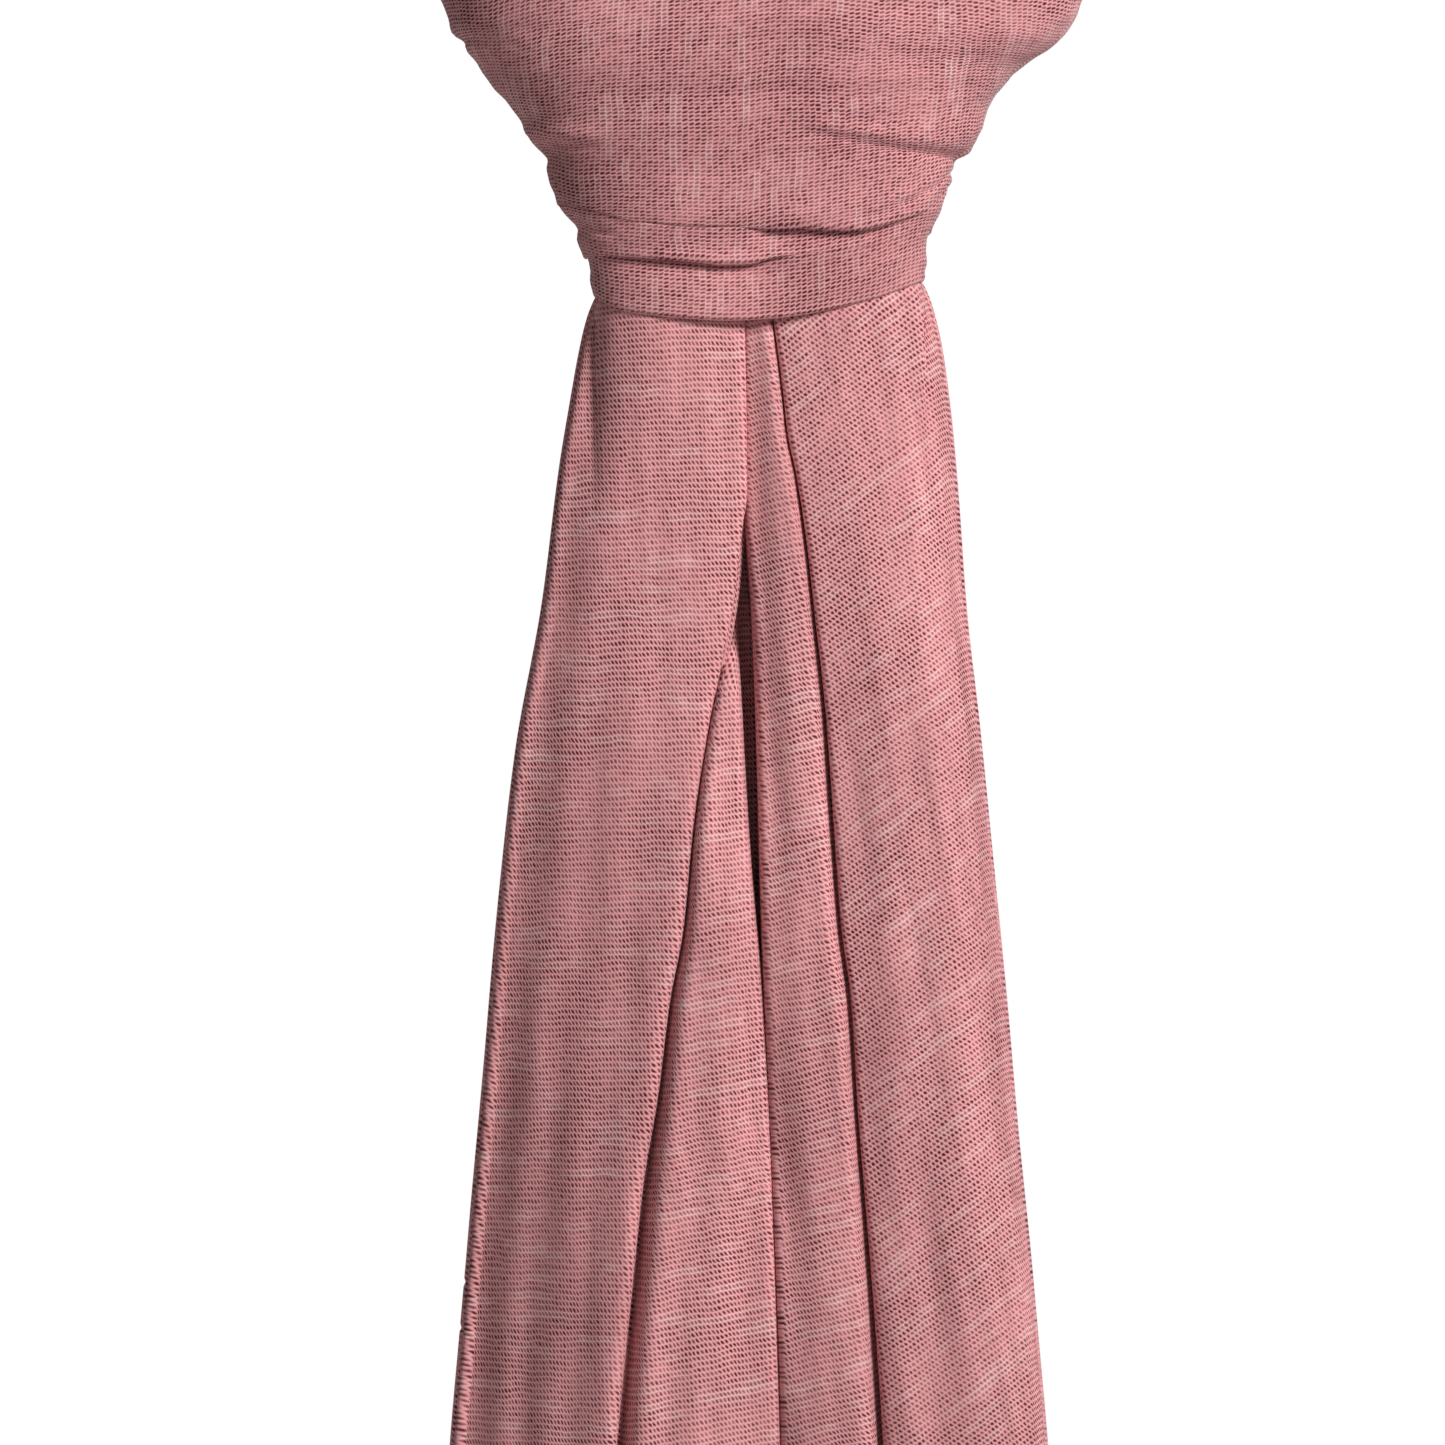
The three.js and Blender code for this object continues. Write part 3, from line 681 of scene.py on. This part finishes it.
def fold_under(points, upper_rows, lower_rows, radius):
    """The cloth with its upper and lower edges turned in behind it, and how many rows that adds above."""
    def turned(grid, rows):
        normal = normals_of(grid)
        out = grid[0] - grid[3]
        out = out / np.maximum(np.linalg.norm(out, axis=1, keepdims=True), 1e-6)     # some rows meet at the ends
        bend = [grid[0] + out * radius * math.sin(angle) + normal[0] * radius * (1 - math.cos(angle))
                for angle in np.linspace(0, np.pi, 9)[1:]]
        inside = [grid[i] + normal[i] * 2 * radius for i in range(1, rows)]
        return np.array(bend + inside)[::-1]
    top = turned(points, upper_rows)
    bottom = turned(points[::-1, ::-1], lower_rows)[::-1, ::-1]
    return np.concatenate([top, points, bottom], axis=0), len(top)

TUCK_WALES = 8      # stitch columns that a tuck takes up, whole so that the rows above and below line up

def hitch_weave(points, tucked, above):
    """Weave map of the hitch: the cloth runs sideways here, so its stitch rows stand upright."""
    down = np.linalg.norm(np.diff(points, axis=0), axis=2)
    hidden = np.flatnonzero(tucked) + above
    down[hidden] = TUCK_WALES * WALE / len(TUCK)
    across = np.linalg.norm(np.diff(points, axis=1), axis=2)
    u = np.concatenate([np.zeros((1, points.shape[1])), np.cumsum(down, axis=0)], axis=0)
    v = np.concatenate([np.zeros((points.shape[0], 1)), np.cumsum(across, axis=1)], axis=1)
    u = u - u[-25:-24]
    v = v - v[:, points.shape[1] // 2, None]
    return np.stack([-u / WALE, -v / COURSE], axis=2)

hitch_pieces = []
for name, inset, seed, rows_in, radius in (
    ("hitch_outer_layer", 0.0, 0.0, (9, 14), 1.1),
    ("hitch_middle_layer", 3.4, 1.7, (8, 12), 0.8),
    ("hitch_inner_layer", 5.6, 3.4, (8, 12), 0.8),
):
    grid, tucked = hitch_grid(inset, seed)
    grid, above = fold_under(grid, *rows_in, radius)
    hitch_pieces.append(thick_sheet(name, grid, hitch_weave(grid, tucked, above), 0.6, SIDEWAYS_KNIT))

# ---- Hems, stitching and labels ----

def simple_material(name, colour, roughness, ribs, depth, border=None):
    """A fine ribbed ribbon or thread, with its ribs along the map's second direction."""
    material = bpy.data.materials.new(name)
    material.use_nodes = True
    shader = material.node_tree.nodes["Principled BSDF"]
    n = Nodes(material.node_tree)
    split = n.new("ShaderNodeSeparateXYZ")
    weave = n.new("ShaderNodeUVMap", uv_map="weave").outputs[0]
    n.put(split.inputs[0], weave)
    rib = n.math("ADD", n.half_cosine(n.math("MULTIPLY", split.outputs[1], ribs)), 0.5)
    worn = n.noise(weave, scale=0.35, detail=3.0)
    shaded = n.mix(n.math("MULTIPLY", rib, 0.16), colour, tuple(0.55 * c for c in colour[:3]) + (1.0,))
    shaded = n.mix(n.span(worn, 0.35, 0.75, 0.0, 0.12), shaded, tuple(0.6 * c for c in colour[:3]) + (1.0,))
    if border:
        width, length, line = border
        edge_x = n.math("ABSOLUTE", n.math("SUBTRACT", n.math("ABSOLUTE", split.outputs[0]), width / 2 - 2.2))
        edge_y = n.math("MODULO", n.math("ADD", split.outputs[1], length), length)
        edge_y = n.math("ABSOLUTE", n.math("SUBTRACT", edge_y, length / 2))
        edge_y = n.math("ABSOLUTE", n.math("SUBTRACT", edge_y, length / 2 - 2.6))
        mark = n.math("MULTIPLY", n.math("LESS_THAN", n.math("MINIMUM", edge_x, edge_y), 0.22), 0.8)
        shaded = n.mix(mark, shaded, line)
    n.put(shader.inputs["Base Color"], shaded)
    shader.inputs["Roughness"].default_value = roughness
    bump = n.new("ShaderNodeBump")
    bump.inputs["Strength"].default_value = 0.5
    bump.inputs["Distance"].default_value = depth
    n.put(bump.inputs["Height"], n.math("ADD", rib, n.math("MULTIPLY", worn, 0.5)))
    n.put(shader.inputs["Normal"], bump.outputs[0])
    return material

THREAD = simple_material("rose_thread", rgb(206, 140, 143), 0.6, 1.6, 0.0001)

def stitch_row(name, centres, directions, outward, length=2.4, radius=0.24):
    """A row of stitches, each a small thread that dips at both ends."""
    rings, sides = 7, 8
    angle = np.linspace(0, 2 * np.pi, sides, endpoint=False)
    along = np.linspace(-1, 1, rings)
    vertices, faces, uv = [], [], []
    for centre, direction, out in zip(centres, directions, outward):
        third = np.cross(direction, out)
        base = len(vertices)
        for a in along:
            r = radius * (1 - abs(a) ** 4) ** 0.5 if abs(a) < 1 else 0.02
            middle = centre + direction * a * length / 2 - out * 0.32 * a * a
            for t in angle:
                vertices.append(middle + r * (math.cos(t) * out + math.sin(t) * third))
                uv.append((t * radius, a * length / 2))
        for i in range(rings - 1):
            for j in range(sides):
                k = (j + 1) % sides
                low, high = base + i * sides, base + (i + 1) * sides
                faces.append((low + j, low + k, high + k, high + j))
        faces.append(tuple(base + j for j in reversed(range(sides))))
        faces.append(tuple(base + (rings - 1) * sides + j for j in range(sides)))
    mesh = bpy.data.meshes.new(name)
    mesh.from_pydata([tuple(v * MM) for v in vertices], [], faces)
    mesh.polygons.foreach_set("use_smooth", np.ones(len(faces), bool))
    layer = mesh.uv_layers.new(name="weave")
    loops = np.empty(len(mesh.loops), np.int32)
    mesh.loops.foreach_get("vertex_index", loops)
    layer.data.foreach_set("uv", np.array(uv)[loops].astype(np.float32).ravel())
    mesh.materials.append(THREAD)
    piece = linked(name, mesh)
    return piece

def spaced_along(path, spacing):
    """Points and directions at even spacing along a path."""
    step = np.linalg.norm(np.diff(path, axis=0), axis=1)
    length = np.concatenate([[0], np.cumsum(step)])
    at = np.arange(spacing, length[-1] - spacing, spacing)
    points = np.stack([np.interp(at, length, path[:, i]) for i in range(3)], axis=1)
    ahead = np.stack([np.interp(at + 0.4, length, path[:, i]) for i in range(3)], axis=1)
    direction = ahead - points
    return points, direction / np.linalg.norm(direction, axis=1, keepdims=True)

def hem_stitching(name, piece_points, outward_sign):
    """The seam that holds the turned-up hem of one layer."""
    path, direction = spaced_along(piece_points, 3.3)
    out = outward_sign * np.cross(direction, [0, 0, -1.0])
    return stitch_row(name, path + out * (CLOTH + 0.12), direction, out)

stitching = [hem_stitching(name, *place) for name, place in hem_paths.items()]

def make_label(node, fold_radius=0.34):
    """A ribbon folded in half and sewn in at its two ends, hanging from its upper edge."""
    low, high = box_mm(node)
    width, height, y = high[0] - low[0], high[2] - low[2], (low[1] + high[1]) / 2
    leaf = height - fold_radius
    down = np.linspace(0, leaf, 30)
    turn = np.linspace(0, np.pi, 9)[1:-1]
    z = np.concatenate([high[2] - down, high[2] - leaf - fold_radius * np.sin(turn), (high[2] - down)[::-1]])
    fold = np.concatenate([np.full(30, 1.0), np.cos(turn), np.full(30, -1.0)]) * fold_radius
    s = np.linspace(-1, 1, 25)
    x = (low[0] + high[0]) / 2 + s * width / 2
    grid = np.empty((len(z), len(s), 3))
    grid[..., 0] = x[None, :]
    curl = 0.5 * (abs(s) ** 3)[None, :] * smooth(0, height, high[2] - z)[:, None]
    grid[..., 1] = y + fold[:, None] + curl + 0.25 * np.sin((high[2] - z) / height * 3.0)[:, None]
    grid[..., 2] = z[:, None]
    length = np.concatenate([[0], np.cumsum(np.linalg.norm(np.diff(grid[:, 0], axis=0), axis=1))])
    uv = np.stack(np.broadcast_arrays(s[None, :] * width / 2, length[:, None]), axis=2)
    material = simple_material(f"{node}_satin", rgb(240, 236, 229), 0.38, 2.2, 0.00006,
                               border=(width, length[-1] / 2, rgb(168, 128, 126)))
    ribbon = thick_sheet(f"{node}_ribbon", grid, uv, 0.26, material)
    count = int(width / 2.8)
    xs = np.linspace(low[0] + 2, high[0] - 2, count)
    centres = np.stack([xs, np.full(count, y + fold_radius + 0.2), np.full(count, high[2] - 1.6)], axis=1)
    along, out = (np.tile(way, (count, 1)) for way in ([1.0, 0, 0], [0, 1.0, 0]))
    seam = stitch_row(f"{node}_seam", centres, along, out, length=1.9, radius=0.2)
    return ribbon, seam

labels = {node: make_label(node) for node in ("care_label", "centre_marker")}

# ---- Stage ----

def stage_plane(name, corners, colour):
    mesh = bpy.data.meshes.new(name)
    mesh.from_pydata([tuple(c) for c in corners], [], [(0, 1, 2, 3)])
    plane = linked(name, mesh)
    material = bpy.data.materials.new(name)
    material.use_nodes = True
    shader = material.node_tree.nodes["Principled BSDF"]
    shader.inputs["Base Color"].default_value = colour
    shader.inputs["Roughness"].default_value = 0.9
    shader.inputs["Emission Color"].default_value = (1, 1, 1, 1)
    nodes = Nodes(material.node_tree)
    seen = nodes.new("ShaderNodeLightPath").outputs["Is Camera Ray"]
    nodes.put(shader.inputs["Emission Strength"], nodes.span(seen, 0.0, 1.0, 0.0, FLOOR_GLOW))
    mesh.materials.append(material)

def area_light(name, place, target, size, power):
    data = bpy.data.lights.new(name, "AREA")
    data.size = size
    data.energy = power
    light = linked(name, data)
    light.location = place
    direction = Vector(target) - Vector(place)
    light.rotation_euler = direction.to_track_quat("-Z", "Y").to_euler()

FLOOR_Z = TAIL_END * MM - 0.25
FLOOR_REACH = 6.4      # its far edge stays below the camera's view
FLOOR_GLOW = 0.75      # keeps the floor pale beside the white surroundings; it lights nothing
floor_corners = [(x * FLOOR_REACH, y * FLOOR_REACH, FLOOR_Z) for x, y in ((-1, -1), (1, -1), (1, 1), (-1, 1))]
stage_plane("floor", floor_corners, (0.85, 0.85, 0.85, 1))
FILL = 0.17       # light from all round; the backdrop itself shows white
world = bpy.data.worlds.new("studio")
world.use_nodes = True
world_tree = Nodes(world.node_tree)
seen = world_tree.new("ShaderNodeLightPath").outputs["Is Camera Ray"]
background = world.node_tree.nodes["Background"]
background.inputs["Color"].default_value = (1, 1, 1, 1)
world_tree.put(background.inputs["Strength"], world_tree.span(seen, 0.0, 1.0, FILL, 1.0))
bpy.context.scene.world = world
bpy.context.scene.view_settings.view_transform = "Standard"
area_light("key", (0.95, -1.1, 0.5), (0, 0, -0.2), 0.5, 28)
area_light("back_fill", (0.3, 1.9, 0.4), (0, 0, -0.5), 1.2, 22)

# ---- Hand-over ----

TAIL_NODES = {
    side: ["tail_neck"] + [f"{place}_{part}" for place in ("front", between, "back") for part in ("pleat", "end")]
    for side, between in (("left", "inner"), ("right", "middle"))
}
for side, pieces in tail_pieces.items():
    for piece in pieces:
        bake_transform(piece)
    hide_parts(*[f"{side}_{part}" for part in TAIL_NODES[side]])
for row in stitching:
    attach(row, "left_tail")
for node, (ribbon, seam) in labels.items():
    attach(ribbon, node)
    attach(seam, node)
    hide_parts(node)
for piece, flat in zip(hitch_pieces, ((0.14, 0.70), (0.13, 0.67), (0.12, 0.65))):
    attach(piece, "hitch")
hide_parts("crossing_sheet", "crossing_band", *[
    f"{side}_{part}" for side in ("left", "right") for part in ("side_turn", "back_leg", "rail_turn", "tail_head")])
